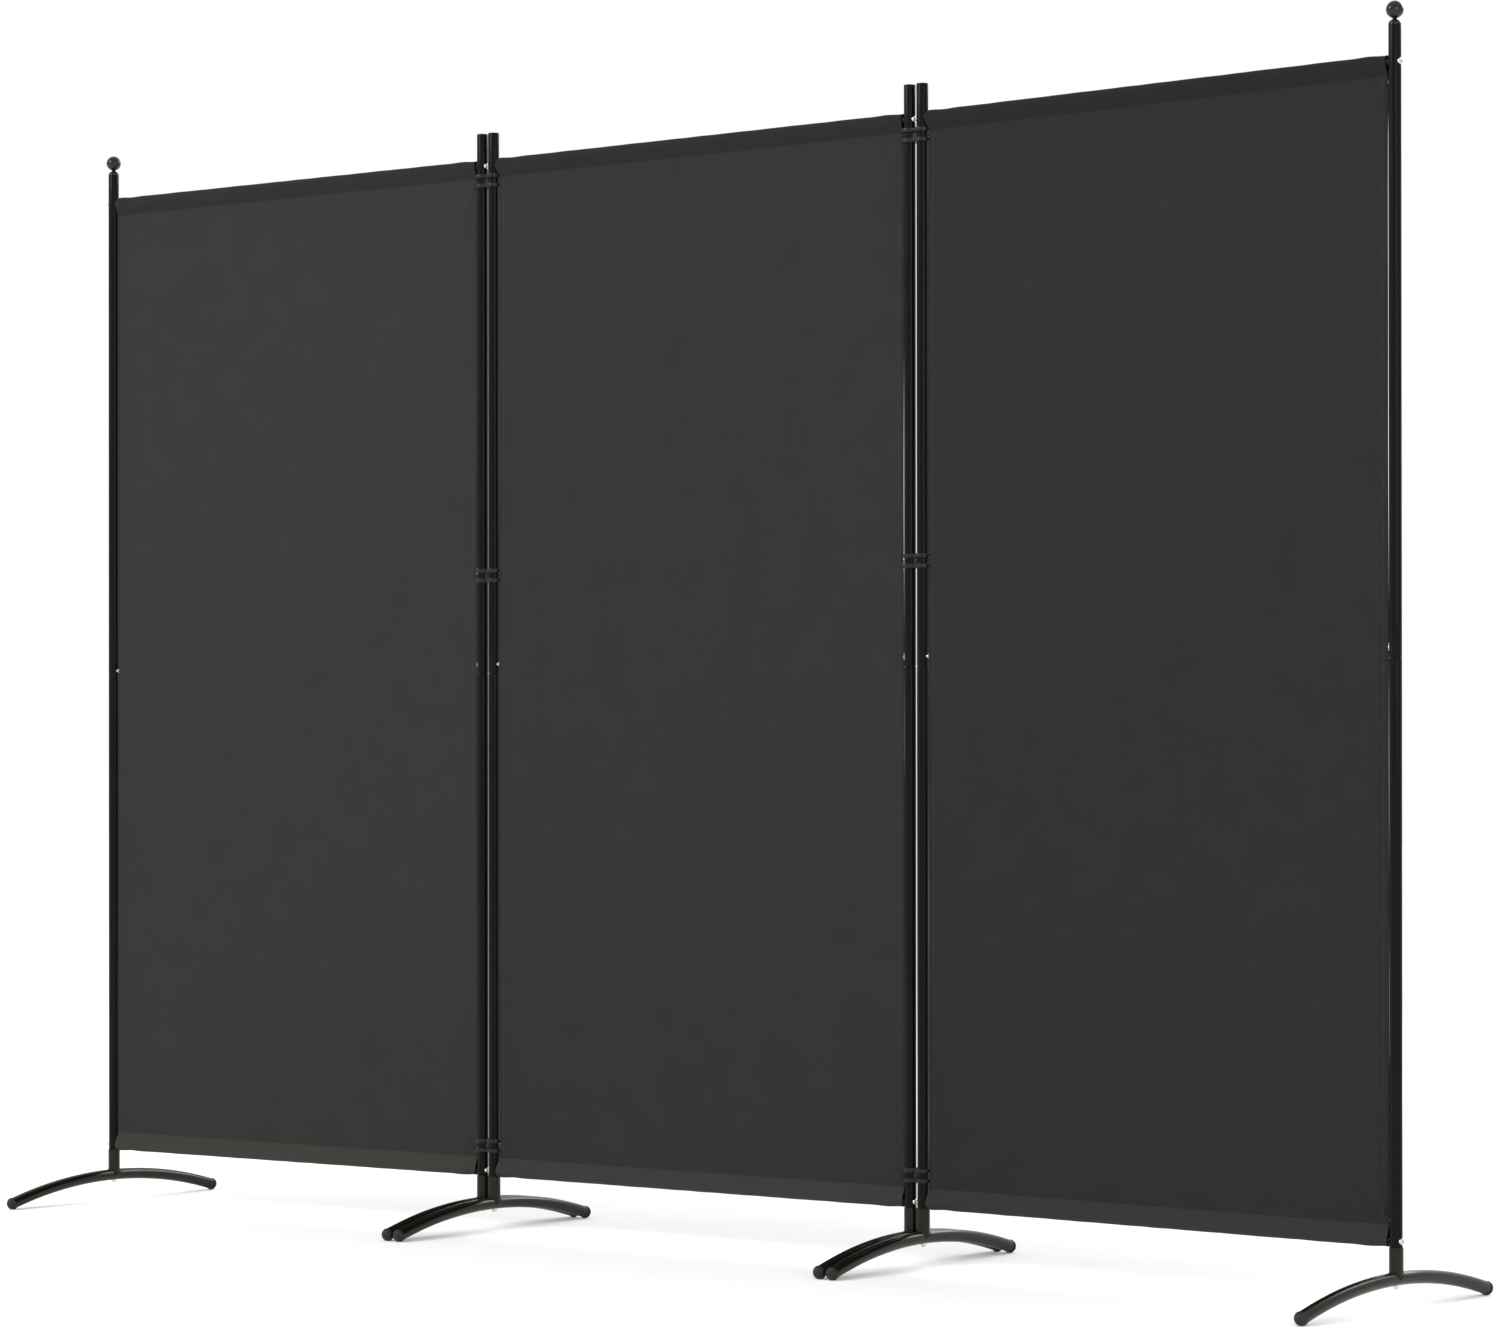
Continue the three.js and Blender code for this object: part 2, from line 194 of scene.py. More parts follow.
floorMesh = bmesh.new()
bmesh.ops.create_grid(floorMesh, x_segments=2, y_segments=2, size=30)
bmesh.ops.translate(floorMesh, vec=(0, 0, mm(-0.2)), verts=floorMesh.verts)
floorData = bpy.data.meshes.new("floor")
floorMesh.to_mesh(floorData)
floorMesh.free()
floor = bpy.data.objects.new("floor", floorData)
floor.data.materials.append(floorMaterial())
bpy.context.scene.collection.objects.link(floor)
print("camera, lamps and floor are set")


# Finishes

def coatMaterial(name, look):
    # gloss black powder coat, baked on steel tube: deep black with a soft long highlight,
    # the faint orange peel of the melted powder, and a little dust that dulls it in patches
    material, tree = newMaterial(name)
    place = addNode(tree, "ShaderNodeTexCoord").outputs["Object"]
    peel = addNode(tree, "ShaderNodeTexNoise", {"Scale": 1 / mm(look["peelSize"]), "Detail": 2.0},
                   {"Vector": place})
    bump = addNode(tree, "ShaderNodeBump", {"Strength": 0.35, "Distance": mm(look["peelDepth"])},
                   {"Height": peel.outputs[0]})
    patches = addNode(tree, "ShaderNodeTexNoise", {"Scale": 1 / mm(look["patchSize"]), "Detail": 5.0},
                      {"Vector": place})
    gloss = addNode(tree, "ShaderNodeMapRange",
                    {"From Min": 0.35, "From Max": 0.7,
                     "To Min": look["roughness"], "To Max": look["dullRoughness"]},
                    {"Value": patches.outputs[0]})
    specks = addNode(tree, "ShaderNodeTexNoise", {"Scale": 1 / mm(look["speckSize"]), "Detail": 3.0},
                     {"Vector": place})
    dust = addNode(tree, "ShaderNodeMapRange",
                   {"From Min": 0.62, "From Max": 0.78, "To Min": 0.0, "To Max": look["dustShare"]},
                   {"Value": specks.outputs[0]})
    worn = addNode(tree, "ShaderNodeMapRange",
                   {"From Min": 0.6, "From Max": 0.75, "To Min": 0.0, "To Max": look["wearShare"]},
                   {"Value": addNode(tree, "ShaderNodeNewGeometry").outputs["Pointiness"]})
    dusty = addNode(tree, "ShaderNodeMix", {"data_type": "RGBA", 6: linear(look["colour"]),
                                            7: linear(look["dustColour"])}, {0: dust.outputs[0]})
    edged = addNode(tree, "ShaderNodeMix", {"data_type": "RGBA", 7: linear(look["wearColour"])},
                    {0: worn.outputs[0], 6: dusty.outputs[2]})
    finishMaterial(tree, {"IOR": look["ior"], "Specular IOR Level": look["specular"],
                          "Specular Tint": linear(look["glossTint"]), "Coat Weight": look["lacquer"],
                          "Coat Roughness": 0.08},
                   {"Base Color": edged.outputs[2], "Roughness": gloss.outputs[0],
                    "Normal": bump.outputs[0]})
    return material


def plasticMaterial(name, look):
    # moulded plastic: low soft sheen over the fine grain of a spark-eroded mould,
    # with slight flow marks that shift the gloss, and paler rubbed edges
    material, tree = newMaterial(name)
    place = addNode(tree, "ShaderNodeTexCoord").outputs["Object"]
    grain = addNode(tree, "ShaderNodeTexVoronoi", {"Scale": 1 / mm(look["grainSize"])}, {"Vector": place})
    bump = addNode(tree, "ShaderNodeBump", {"Strength": 0.4, "Distance": mm(look["grainDepth"])},
                   {"Height": grain.outputs["Distance"]})
    flow = addNode(tree, "ShaderNodeTexNoise", {"Scale": 1 / mm(look["flowSize"]), "Detail": 3.0},
                   {"Vector": place})
    gloss = addNode(tree, "ShaderNodeMapRange",
                    {"From Min": 0.35, "From Max": 0.7,
                     "To Min": look["roughness"], "To Max": look["dullRoughness"]},
                    {"Value": flow.outputs[0]})
    worn = addNode(tree, "ShaderNodeMapRange",
                   {"From Min": 0.52, "From Max": 0.6, "To Min": 0.0, "To Max": look["wearShare"]},
                   {"Value": addNode(tree, "ShaderNodeNewGeometry").outputs["Pointiness"]})
    colour = addNode(tree, "ShaderNodeMix", {"data_type": "RGBA", 6: linear(look["colour"]),
                                             7: linear(look["wearColour"])}, {0: worn.outputs[0]})
    finishMaterial(tree, {"IOR": look["ior"], "Specular IOR Level": look["specular"]},
                   {"Base Color": colour.outputs[2], "Roughness": gloss.outputs[0],
                    "Normal": bump.outputs[0]})
    return material


def zincMaterial(name, look):
    # bright zinc plate on steel: a clean silvery metal, a little cloudy from the bath,
    # with the fine turning marks of the head under it
    material, tree = newMaterial(name)
    place = addNode(tree, "ShaderNodeTexCoord").outputs["Object"]
    cloud = addNode(tree, "ShaderNodeTexNoise", {"Scale": 1 / mm(look["cloudSize"]), "Detail": 4.0},
                    {"Vector": place})
    colour = addNode(tree, "ShaderNodeValToRGB", links={"Fac": cloud.outputs[0]})
    colour.color_ramp.elements[0].color = linear(look["colour"])
    colour.color_ramp.elements[1].color = linear(look["cloudColour"])
    gloss = addNode(tree, "ShaderNodeMapRange",
                    {"To Min": look["roughness"], "To Max": look["dullRoughness"]},
                    {"Value": cloud.outputs[0]})
    marks = addNode(tree, "ShaderNodeTexNoise", {"Scale": 1 / mm(look["markSize"]), "Detail": 2.0},
                    {"Vector": place})
    bump = addNode(tree, "ShaderNodeBump", {"Strength": 0.3, "Distance": mm(look["markDepth"])},
                   {"Height": marks.outputs[0]})
    finishMaterial(tree, {"Metallic": 1.0},
                   {"Base Color": colour.outputs[0], "Roughness": gloss.outputs[0],
                    "Normal": bump.outputs[0]})
    return material


def weaveMaterial(name, look):
    # plain-weave polyester, piece-dyed charcoal: matt, with a grid of crossing threads,
    # long thicker threads that show as faint streaks, and a soft bloom at a low angle.
    # The real threads are about half as wide; they are drawn coarser so that they show.
    material, tree = newMaterial(name)
    layout = addNode(tree, "ShaderNodeUVMap", {"uv_map": "cloth"}).outputs[0]
    split = addNode(tree, "ShaderNodeSeparateXYZ", links={"Vector": layout})

    def sums(operation, first, second=None):
        node = addNode(tree, "ShaderNodeMath", {"operation": operation})
        for socket, value in zip(node.inputs, (first, second)):
            if isinstance(value, (int, float)):
                socket.default_value = value
            elif value is not None:
                tree.links.new(value, socket)
        return node.outputs[0]

    def streaks(across, along):
        # noise drawn out along one set of threads
        stretch = addNode(tree, "ShaderNodeVectorMath", {"operation": "MULTIPLY", 1: (across, along, 1)},
                          {0: layout})
        return addNode(tree, "ShaderNodeTexNoise", {"Scale": 1.0, "Detail": 3.0, "Roughness": 0.6},
                       {"Vector": stretch.outputs[0]}).outputs[0]

    pitch = math.pi / mm(look["threadPitch"])
    warp = sums("SINE", sums("MULTIPLY", split.outputs[0], pitch))
    weft = sums("SINE", sums("MULTIPLY", split.outputs[1], pitch))
    over = sums("GREATER_THAN", sums("MULTIPLY", warp, weft), 0)
    warpHeight = sums("MULTIPLY", sums("ABSOLUTE", warp), over)
    weftHeight = sums("MULTIPLY", sums("ABSOLUTE", weft), sums("SUBTRACT", 1, over))
    thread = sums("ADD", warpHeight, weftHeight)
    longThreads = streaks(1 / mm(look["slubWidth"]), 1 / mm(look["slubLength"]))
    crossThreads = streaks(1 / mm(look["slubLength"]), 1 / mm(look["slubWidth"]))
    slubs = sums("ADD", longThreads, crossThreads)
    puckers = sums("MULTIPLY", streaks(1 / mm(look["puckerWidth"]), 1 / mm(look["puckerLength"])),
                   addNode(tree, "ShaderNodeAttribute", {"attribute_name": "seamPull"}).outputs["Fac"])
    height = sums("ADD", sums("ADD", thread, sums("MULTIPLY", puckers, look["puckerHeight"])),
                  sums("MULTIPLY", slubs, look["slubHeight"]))
    bump = addNode(tree, "ShaderNodeBump", {"Strength": 0.5, "Distance": mm(look["threadDepth"])},
                   {"Height": height})
    dye = addNode(tree, "ShaderNodeTexNoise", {"Scale": 1 / mm(look["dyeSize"]), "Detail": 3.0},
                  {"Vector": layout}).outputs[0]
    # colour: thread crests lighter and the hollows between threads darker, painted shade in the weave, mixed
    # with the real streaks of thicker threads and the uneven dye
    shade = sums("ADD", sums("MULTIPLY", thread, look["threadHollowShade"]),
                 sums("ADD", sums("MULTIPLY", slubs, look["slubShare"]),
                      sums("MULTIPLY", dye, look["dyeShare"])))
    body = addNode(tree, "ShaderNodeMix", {"data_type": "RGBA", 6: linear(look["shadeColour"]),
                                           7: linear(look["colour"])}, {0: shade})
    # painted light and shade: the cloth colour scaled by the sleeve attribute, painted darker on the top
    # sleeve and lighter on the bottom sleeve
    sleeve = addNode(tree, "ShaderNodeAttribute", {"attribute_name": "sleevePaintedLight"}).outputs["Color"]
    sleeveLitBody = addNode(tree, "ShaderNodeMix", {"data_type": "RGBA", "blend_type": "MULTIPLY", 0: 1.0},
                    {6: body.outputs[2], 7: sleeve})
    finishMaterial(tree, {"Roughness": 0.92, "Specular IOR Level": look["specular"],
                          "Sheen Weight": look["sheen"], "Sheen Roughness": 0.45,
                          "Sheen Tint": linear(look["sheenColour"])},
                   {"Base Color": sleeveLitBody.outputs[2], "Normal": bump.outputs[0]})
    return material


postCoat = coatMaterial("glossBlackPowderCoat", {
    "colour": "0a0a09", "dustColour": "33312c", "wearColour": "242422", "roughness": 0.2,
    "dullRoughness": 0.3, "ior": 1.5, "specular": 0.1, "lacquer": 0.0, "glossTint": "f6f8f6", "peelSize": 1.6,
    "peelDepth": 0.008, "patchSize": 60, "speckSize": 5, "dustShare": 0.06, "wearShare": 0.3})
footCoat = coatMaterial("glossBlackFootPowderCoat", {
    "colour": "12110c", "dustColour": "413f35", "wearColour": "32322c", "roughness": 0.16,
    "dullRoughness": 0.28, "ior": 1.52, "specular": 0.22, "lacquer": 0.02, "glossTint": "faf7e4",
    "peelSize": 1.6, "peelDepth": 0.01, "patchSize": 45, "speckSize": 4, "dustShare": 0.12, "wearShare": 0.4})
capPlastic = plasticMaterial("mouldedSatinPolyethylene", {
    "colour": "181815", "wearColour": "383832", "roughness": 0.42, "dullRoughness": 0.58,
    "ior": 1.51, "specular": 0.3, "grainSize": 0.5, "grainDepth": 0.03, "flowSize": 12, "wearShare": 0.5})
clipPlastic = plasticMaterial("mouldedSatinNylon", {
    "colour": "101010", "wearColour": "2c2c2a", "roughness": 0.3, "dullRoughness": 0.45,
    "ior": 1.53, "specular": 0.25, "grainSize": 0.4, "grainDepth": 0.02, "flowSize": 15, "wearShare": 0.5})
ballPlastic = plasticMaterial("polishedBlackAbs", {
    "colour": "0f0f0e", "wearColour": "1e1e1d", "roughness": 0.08, "dullRoughness": 0.16,
    "ior": 1.54, "specular": 0.3, "grainSize": 2.5, "grainDepth": 0.004, "flowSize": 9, "wearShare": 0.2})
brightZinc = zincMaterial("brightZincPlate", {
    "colour": "d9dad6", "cloudColour": "b9bcba", "roughness": 0.18, "dullRoughness": 0.34,
    "cloudSize": 4, "markSize": 0.5, "markDepth": 0.01})
weaveLook = {
    "threadPitch": 1.1, "threadDepth": 0.12, "slubWidth": 1.6, "slubLength": 90, "slubHeight": 1.4,
    "dyeSize": 70, "puckerWidth": 5, "puckerLength": 60, "puckerHeight": 9,
    "threadHollowShade": 0.3, "slubShare": 0.32, "dyeShare": 0.2, "shadeColour": "161616",
    "specular": 0.12, "sheen": 0.1, "sheenColour": "9a9a9a"}
# painted light: one charcoal cloth, painted a lighter colour on the left panel and a darker one on the right,
# for the way each panel turns to the light
clothPaintedLightColours = {"left_panel": "343432", "middle_panel": "313130", "right_panel": "2b2c2d"}
clothLitMaterials = {panel: weaveMaterial(f"charcoalPlainWeavePaintedLight_{panel}", {**weaveLook, "colour": colour})
                  for panel, colour in clothPaintedLightColours.items()}


def threadMaterial(look):
    # spun polyester sewing thread: twisted, dull, a shade lighter than the cloth
    material, tree = newMaterial("charcoalSewingThread")
    place = addNode(tree, "ShaderNodeTexCoord").outputs["Object"]
    twist = addNode(tree, "ShaderNodeTexNoise", {"Scale": 1 / mm(look["twistSize"])}, {"Vector": place})
    tone = addNode(tree, "ShaderNodeValToRGB", links={"Fac": twist.outputs[0]})
    tone.color_ramp.elements[0].color = linear(look["shadeColour"])
    tone.color_ramp.elements[1].color = linear(look["colour"])
    bump = addNode(tree, "ShaderNodeBump", {"Strength": 0.4, "Distance": mm(look["twistDepth"])},
                   {"Height": twist.outputs[0]})
    finishMaterial(tree, {"Roughness": 0.7, "Sheen Weight": 0.2, "Specular IOR Level": 0.3},
                   {"Base Color": tone.outputs[0], "Normal": bump.outputs[0]})
    return material


sewingThread = threadMaterial({"colour": "525250", "shadeColour": "30302f", "twistSize": 0.3,
                               "twistDepth": 0.05})
print("finishes are mixed")


# Shaping helpers

def meshObject(name, bm, material, smoothAngle=35):
    # closes a bmesh into an object at the origin, smooth but for edges sharper than smoothAngle
    bmesh.ops.remove_doubles(bm, verts=bm.verts, dist=1e-6)
    bmesh.ops.recalc_face_normals(bm, faces=bm.faces)
    limit = math.radians(smoothAngle)
    for face in bm.faces:
        face.smooth = True
    for edge in bm.edges:
        edge.smooth = len(edge.link_faces) == 2 and edge.calc_face_angle(0) < limit
    mesh = bpy.data.meshes.new(name)
    bm.to_mesh(mesh)
    bm.free()
    piece = bpy.data.objects.new(name, mesh)
    piece.data.materials.append(material)
    bpy.context.scene.collection.objects.link(piece)
    return piece


def seat(piece, body, nodes=()):
    # says what a finished piece moves with and hides the parts it stands for
    if nodes:
        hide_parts(*nodes)
    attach(piece, body)
    return piece


def lathe(profile, steps=40, place=None):
    # spins pairs of radius and height, in millimetres, round the upright axis
    bm = bmesh.new()
    verts = [bm.verts.new((mm(radius), 0, mm(height))) for radius, height in profile]
    edges = [bm.edges.new(pair) for pair in zip(verts, verts[1:])]
    bmesh.ops.spin(bm, geom=verts + edges, cent=(0, 0, 0), axis=(0, 0, 1),
                   angle=2 * math.pi, steps=steps, use_merge=True)
    bmesh.ops.remove_doubles(bm, verts=bm.verts, dist=1e-7)
    if place is not None:
        bmesh.ops.transform(bm, matrix=place, verts=bm.verts)
    return bm


def arc(radius, centreX, centreZ, start, end, steps):
    # pairs round an arc of a profile, in millimetres, with angles in degrees above the horizontal
    turns = [math.radians(start + (end - start) * i / steps) for i in range(steps + 1)]
    return [(max(0, centreX + radius * math.cos(t)), centreZ + radius * math.sin(t)) for t in turns]


def joined(meshes):
    # several bmeshes in one
    whole = bmesh.new()
    for part in meshes:
        scratch = bpy.data.meshes.new("scratch")
        part.to_mesh(scratch)
        part.free()
        whole.from_mesh(scratch)
        bpy.data.meshes.remove(scratch)
    return whole


def combined(first, second, operation):
    # the union or difference of two closed bmeshes
    solids = []
    for part in (first, second):
        bmesh.ops.recalc_face_normals(part, faces=part.faces)
        mesh = bpy.data.meshes.new("scratch")
        part.to_mesh(mesh)
        part.free()
        scratchObject = bpy.data.objects.new("scratch", mesh)
        bpy.context.scene.collection.objects.link(scratchObject)
        solids.append(scratchObject)
    cut = solids[0].modifiers.new("cut", "BOOLEAN")
    cut.operation, cut.solver, cut.object = operation, "EXACT", solids[1]
    shaped = solids[0].evaluated_get(bpy.context.evaluated_depsgraph_get())
    result = bmesh.new()
    result.from_mesh(shaped.data)
    for scratchObject in solids:
        mesh = scratchObject.data
        bpy.data.objects.remove(scratchObject)
        bpy.data.meshes.remove(mesh)
    return result


def rodBetween(start, end, radius, steps=24):
    # a closed round rod from one point to another, all in metres
    along = end - start
    rod = lathe([(0, 0), (radius, 0), (radius, along.length * 1000), (0, along.length * 1000)], steps)
    turn = along.to_track_quat("Z", "Y").to_matrix().to_4x4()
    bmesh.ops.transform(rod, matrix=Matrix.Translation(start) @ turn, verts=rod.verts)
    return rod


# Posts: two tubes each, one standing in the other

post = {"radius": 9, "wall": 1, "edgeRound": 0.45, "swageRadius": 7.45, "swageLength": 45,
        "swageWall": 0.9, "holeRadius": 3.1, "barHole": 3.3, "insertBore": 2.5, "insertDepth": 12,
        "rowGap": 60, "steps": 48}


def tubeProfile(bottom, top):
    # the closed outline of a tube wall with rounded lips, heights in millimetres
    outer, inner, lip = post["radius"], post["radius"] - post["wall"], post["edgeRound"]
    rows = max(1, round((top - bottom - 2 * lip) / post["rowGap"]))
    straight = [(outer, bottom + lip + (top - bottom - 2 * lip) * i / rows) for i in range(1, rows)]
    return ([(inner, bottom), (outer - lip, bottom)] + arc(lip, outer - lip, bottom + lip, -60, 0, 2)
            + straight + arc(lip, outer - lip, top - lip, 0, 90, 3) + [(inner, top), (inner, bottom)])


def buildPosts():
    top, middle = tubeTop * 1000, jointHeight * 1000
    bottom, shoulder = lowerLow.z * 1000, middle - 0.3
    outer, inner, lip = post["radius"], post["radius"] - post["wall"], post["edgeRound"]
    swageTop, swage = middle + post["swageLength"], post["swageRadius"]
    bore, insertTop = post["insertBore"], bottom + post["insertDepth"]
    rows = [(outer, bottom + lip + (shoulder - bottom - 2 * lip) * i / 13) for i in range(14)]
    lowerOutline = (
        [(bore, bottom), (outer - lip, bottom)] + rows + arc(lip, outer - lip, shoulder - lip, 30, 90, 2)
        + [(swage, shoulder), (swage, swageTop - 1), (swage - 0.4, swageTop)]
        + [(swage - post["swageWall"], swageTop), (swage - post["swageWall"], shoulder - 5)]
        + [(inner, shoulder - 10), (inner, insertTop), (bore, insertTop), (bore, bottom)])
    for panel, side in posts:
        place = postFrame(panel, side)

        def drill(height, start, radius):
            near, far = Vector((mm(start), 0, height)), Vector((mm(post["radius"] + 4), 0, height))
            return rodBetween(place @ near, place @ far, radius)

        upper = lathe(tubeProfile(middle, top), post["steps"], place)
        lower = lathe(lowerOutline, post["steps"], place)
        upper = combined(upper, drill(buttonHeight, 2, post["holeRadius"]), "DIFFERENCE")
        lower = combined(lower, drill(buttonHeight, 2, post["holeRadius"]), "DIFFERENCE")
        upper = combined(upper, drill(barHeights["top"], -12, post["barHole"]), "DIFFERENCE")
        lower = combined(lower, drill(barHeights["bottom"], -12, post["barHole"]), "DIFFERENCE")
        for part, bm in (("upper", upper), ("lower", lower)):
            node = f"{panel}_{side}_post_{part}_tube"
            seat(meshObject(f"{node}_fine", bm, postCoat), panel, [node])


buildPosts()
print("posts stand")


# Ends of the posts: ball finials on the two outermost, flat plugs on the four inner ones

finial = {"ball": 12.4, "ballHeight": 19.5, "rim": 8.95, "dome": 6.2, "neck": 3.1, "steps": 48}
plug = {"rim": 8.95, "height": 1.5, "edgeRound": 0.8, "stem": 7.5, "stemDepth": 14, "steps": 48}


def plugStem(top):
    # the ribbed stem inside the tube, up to the underside of the rim
    stem, foot = plug["stem"], top - plug["stemDepth"]
    ribs = []
    for i in range(4):
        height = foot + 1 + i * 3
        ribs += [(stem - 0.5, height), (stem, height + 0.8), (stem - 0.5, height + 1.6)]
    return [(0, foot)] + ribs + [(stem - 0.3, top + 0.05), (plug["rim"] - 0.3, top + 0.05)]


def ballProfile():
    top = tubeTop * 1000
    rim = top + plug["height"]
    centre = rim + finial["ballHeight"]
    dome = [(finial["rim"] * math.cos(math.radians(a)), rim + finial["dome"] * math.sin(math.radians(a)))
            for a in (0, 12, 24, 36, 48, 58, 65)]
    waist = rim + finial["dome"] + 0.6
    start = -74
    ball = arc(finial["ball"], 0, centre, start, 90, 26)
    foot = ball[0]
    flare = [(finial["neck"], waist), (finial["neck"] + 0.05, waist + 0.4),
             ((finial["neck"] + foot[0]) / 2 - 0.1, (waist + foot[1]) / 2 + 0.1)]
    return (plugStem(top) + [(finial["rim"], top + 0.4)] + dome
            + [(finial["neck"] + 0.25, waist - 0.45)] + flare + ball)


def flatProfile():
    top = tubeTop * 1000
    rim = top + plug["height"]
    edge = plug["edgeRound"]
    return (plugStem(top) + [(plug["rim"], top + 0.35)]
            + arc(edge, plug["rim"] - edge, rim - edge, 0, 90, 5)
            + [(3.2, rim), (2.9, rim - 0.25), (0, rim - 0.25)])


for panel, side in posts:
    outermost = (panel, side) in (("left_panel", "left"), ("right_panel", "right"))
    kind = "finial" if outermost else "plug"
    node = f"{panel}_{side}_post_{kind}"
    bm = lathe(ballProfile() if outermost else flatProfile(), finial["steps"], postFrame(panel, side))
    piece = meshObject(f"{node}_fine", bm, ballPlastic if outermost else capPlastic)
    seat(piece, panel, [node])
print("finials and plugs are on")


# Bars: straight tubes whose ends are cut to sit round the posts

bar = {"radius": 6.5, "steps": 40, "cope": 9.03}


def buildBars():
    half = panelSpan * 500
    outline = ([(0, -half), (bar["radius"], -half)]
               + [(bar["radius"], -half + 2 * half * i / 12) for i in range(1, 12)]
               + [(bar["radius"], half), (0, half)])
    for panel in panelNames:
        place = panelFrame(panel)
        for level, height in barHeights.items():
            lying = place @ Matrix.Translation((0, 0, height)) @ Matrix.Rotation(math.pi / 2, 4, "Y")
            rail = lathe(outline, bar["steps"], lying)
            for side in sideNames:
                stand = axisOf(panel, side) + Vector((0, 0, height))
                rise = Vector((0, 0, mm(12)))
                rail = combined(rail, rodBetween(stand - rise, stand + rise, bar["cope"], 64), "DIFFERENCE")
            node = f"{panel}_{level}_bar"
            seat(meshObject(f"{node}_fine", rail, postCoat), panel, [node])


buildBars()
print("bars are in")


def stored(bm):
    # keeps a shape to be copied to several places
    bmesh.ops.remove_doubles(bm, verts=bm.verts, dist=1e-7)
    bmesh.ops.recalc_face_normals(bm, faces=bm.faces)
    mesh = bpy.data.meshes.new("shape")
    bm.to_mesh(mesh)
    bm.free()
    return mesh


def copyAt(shape, place):
    bm = bmesh.new()
    bm.from_mesh(shape)
    bmesh.ops.transform(bm, matrix=place, verts=bm.verts)
    return bm


# Bolts: low domed heads with a hexagon recess; the barrel under the head fills the gap to the round tube

bolt = {"barrel": 2.8, "shank": 2.4, "shankLength": 22, "hexagon": 1.9, "hexagonDepth": 1.4, "steps": 40}
barBoltHead = {"radius": 4.8, "height": 2.0}
footBoltHead = {"radius": 4.4, "height": 5.2}


def boltShape(size):
    # points up, with the crest of its tube at height 0
    head, high = size["radius"], size["height"]
    outline = ([(0, -bolt["shankLength"]), (bolt["shank"] - 0.5, -bolt["shankLength"]),
                (bolt["shank"], 0.6 - bolt["shankLength"]), (bolt["shank"], -bolt["barrel"]),
                (head - 0.3, -bolt["barrel"]), (head, 0.3 - bolt["barrel"]), (head, high * 0.3)]
               + [(head * math.cos(a), high * (0.3 + 0.7 * math.sin(a)))
                  for a in (math.radians(10 * i) for i in range(1, 7))]
               + [(head * 0.3, high), (0, high)])
    solid = lathe(outline, bolt["steps"])
    recess = lathe([(0, high - bolt["hexagonDepth"]), (bolt["hexagon"], high - bolt["hexagonDepth"]),
                    (bolt["hexagon"], high + 1), (0, high + 1)], 6)
    return stored(combined(solid, recess, "DIFFERENCE"))


barBolt = boltShape(barBoltHead)
footBolt = boltShape(footBoltHead)
outward = Matrix.Translation((mm(-post["radius"]), 0, 0)) @ Matrix.Rotation(-math.pi / 2, 4, "Y")
for panel, side in posts:
    for level, height in barHeights.items():
        place = postFrame(panel, side) @ Matrix.Translation((0, 0, height)) @ outward
        piece = meshObject(f"{panel}_{side}_{level}_bar_bolt", copyAt(barBolt, place), brightZinc)
        seat(piece, panel)


# Snap buttons: domed pins with a flange that keeps them in the tube

button = {"radius": 2.8, "proud": 2.7, "dome": 1.4, "flange": 3.8, "seat": 5.1, "steps": 36}


def buttonShape():
    tip = post["radius"] + button["proud"]
    side = tip - button["dome"]
    dome = [(button["radius"] * math.cos(a), side + button["dome"] * math.sin(a))
            for a in (math.radians(9 * i) for i in range(11))]
    outline = ([(0, button["seat"] - 0.9), (button["flange"], button["seat"] - 0.9),
                (button["flange"], button["seat"]), (button["radius"], button["seat"])] + dome)
    outline[-1] = (0, tip)
    return stored(lathe(outline, button["steps"]))


snapButton = buttonShape()
inward = Matrix.Translation((0, 0, buttonHeight)) @ Matrix.Rotation(math.pi / 2, 4, "Y")
for panel, side in posts:
    node = f"{panel}_{side}_post_button"
    bm = copyAt(snapButton, postFrame(panel, side) @ inward)
    seat(meshObject(f"{node}_fine", bm, brightZinc), f"{panel}_{side}_button", [node])
print("bolts and snap buttons are in")


# Feet: an arched tube with a short socket welded on top, and a cap in each end

foot = {"radius": 9.5, "wall": 1, "rise": 43, "endRise": 10, "run": 233, "steps": 72, "sides": 44,
        "socketOuter": 10.1, "socketBore": 9.3, "socketTop": 86.5, "socketFloor": 53.3,
        "weld": 1.5, "weldRipples": 34, "weldSteps": 136}
cap = {"radius": 10.5, "lip": 0.5, "stem": 8.05, "stemDepth": 12, "groove": 2.4, "steps": 44}
sag = foot["rise"] - foot["endRise"]
archRadius = (foot["run"] ** 2 + sag ** 2) / (2 * sag)
archAngle = math.asin(foot["run"] / archRadius)
archCentre = Vector((0, 0, mm(foot["rise"] - archRadius)))


def archedTube():
    bm = bmesh.new()
    upright = Matrix.Translation((0, 0, mm(foot["rise"]))) @ Matrix.Rotation(math.pi / 2, 4, "X")
    for radius in (foot["radius"], foot["radius"] - foot["wall"]):
        bmesh.ops.create_circle(bm, segments=foot["sides"], radius=mm(radius), matrix=upright)
    bmesh.ops.rotate(bm, verts=bm.verts, cent=archCentre, matrix=Matrix.Rotation(archAngle, 3, "X"))
    bmesh.ops.spin(bm, geom=bm.verts[:] + bm.edges[:], cent=archCentre, axis=(1, 0, 0),
                   angle=-2 * archAngle, steps=foot["steps"])
    for end in (-1, 1):
        rim = [e for e in bm.edges if e.is_boundary and e.verts[0].co.y * end > 0]
        bmesh.ops.bridge_loops(bm, edges=rim)
    return bm


def socketTube():
    outer, bore, top = foot["socketOuter"], foot["socketBore"], foot["socketTop"]
    lip = 0.35
    return lathe([(0, foot["rise"] + 3), (outer, foot["rise"] + 3), (outer, 60), (outer, 72)]
                 + arc(lip, outer - lip, top - lip, 0, 90, 4)
                 + [(bore, top), (bore, foot["socketFloor"]), (0, foot["socketFloor"])], 48)


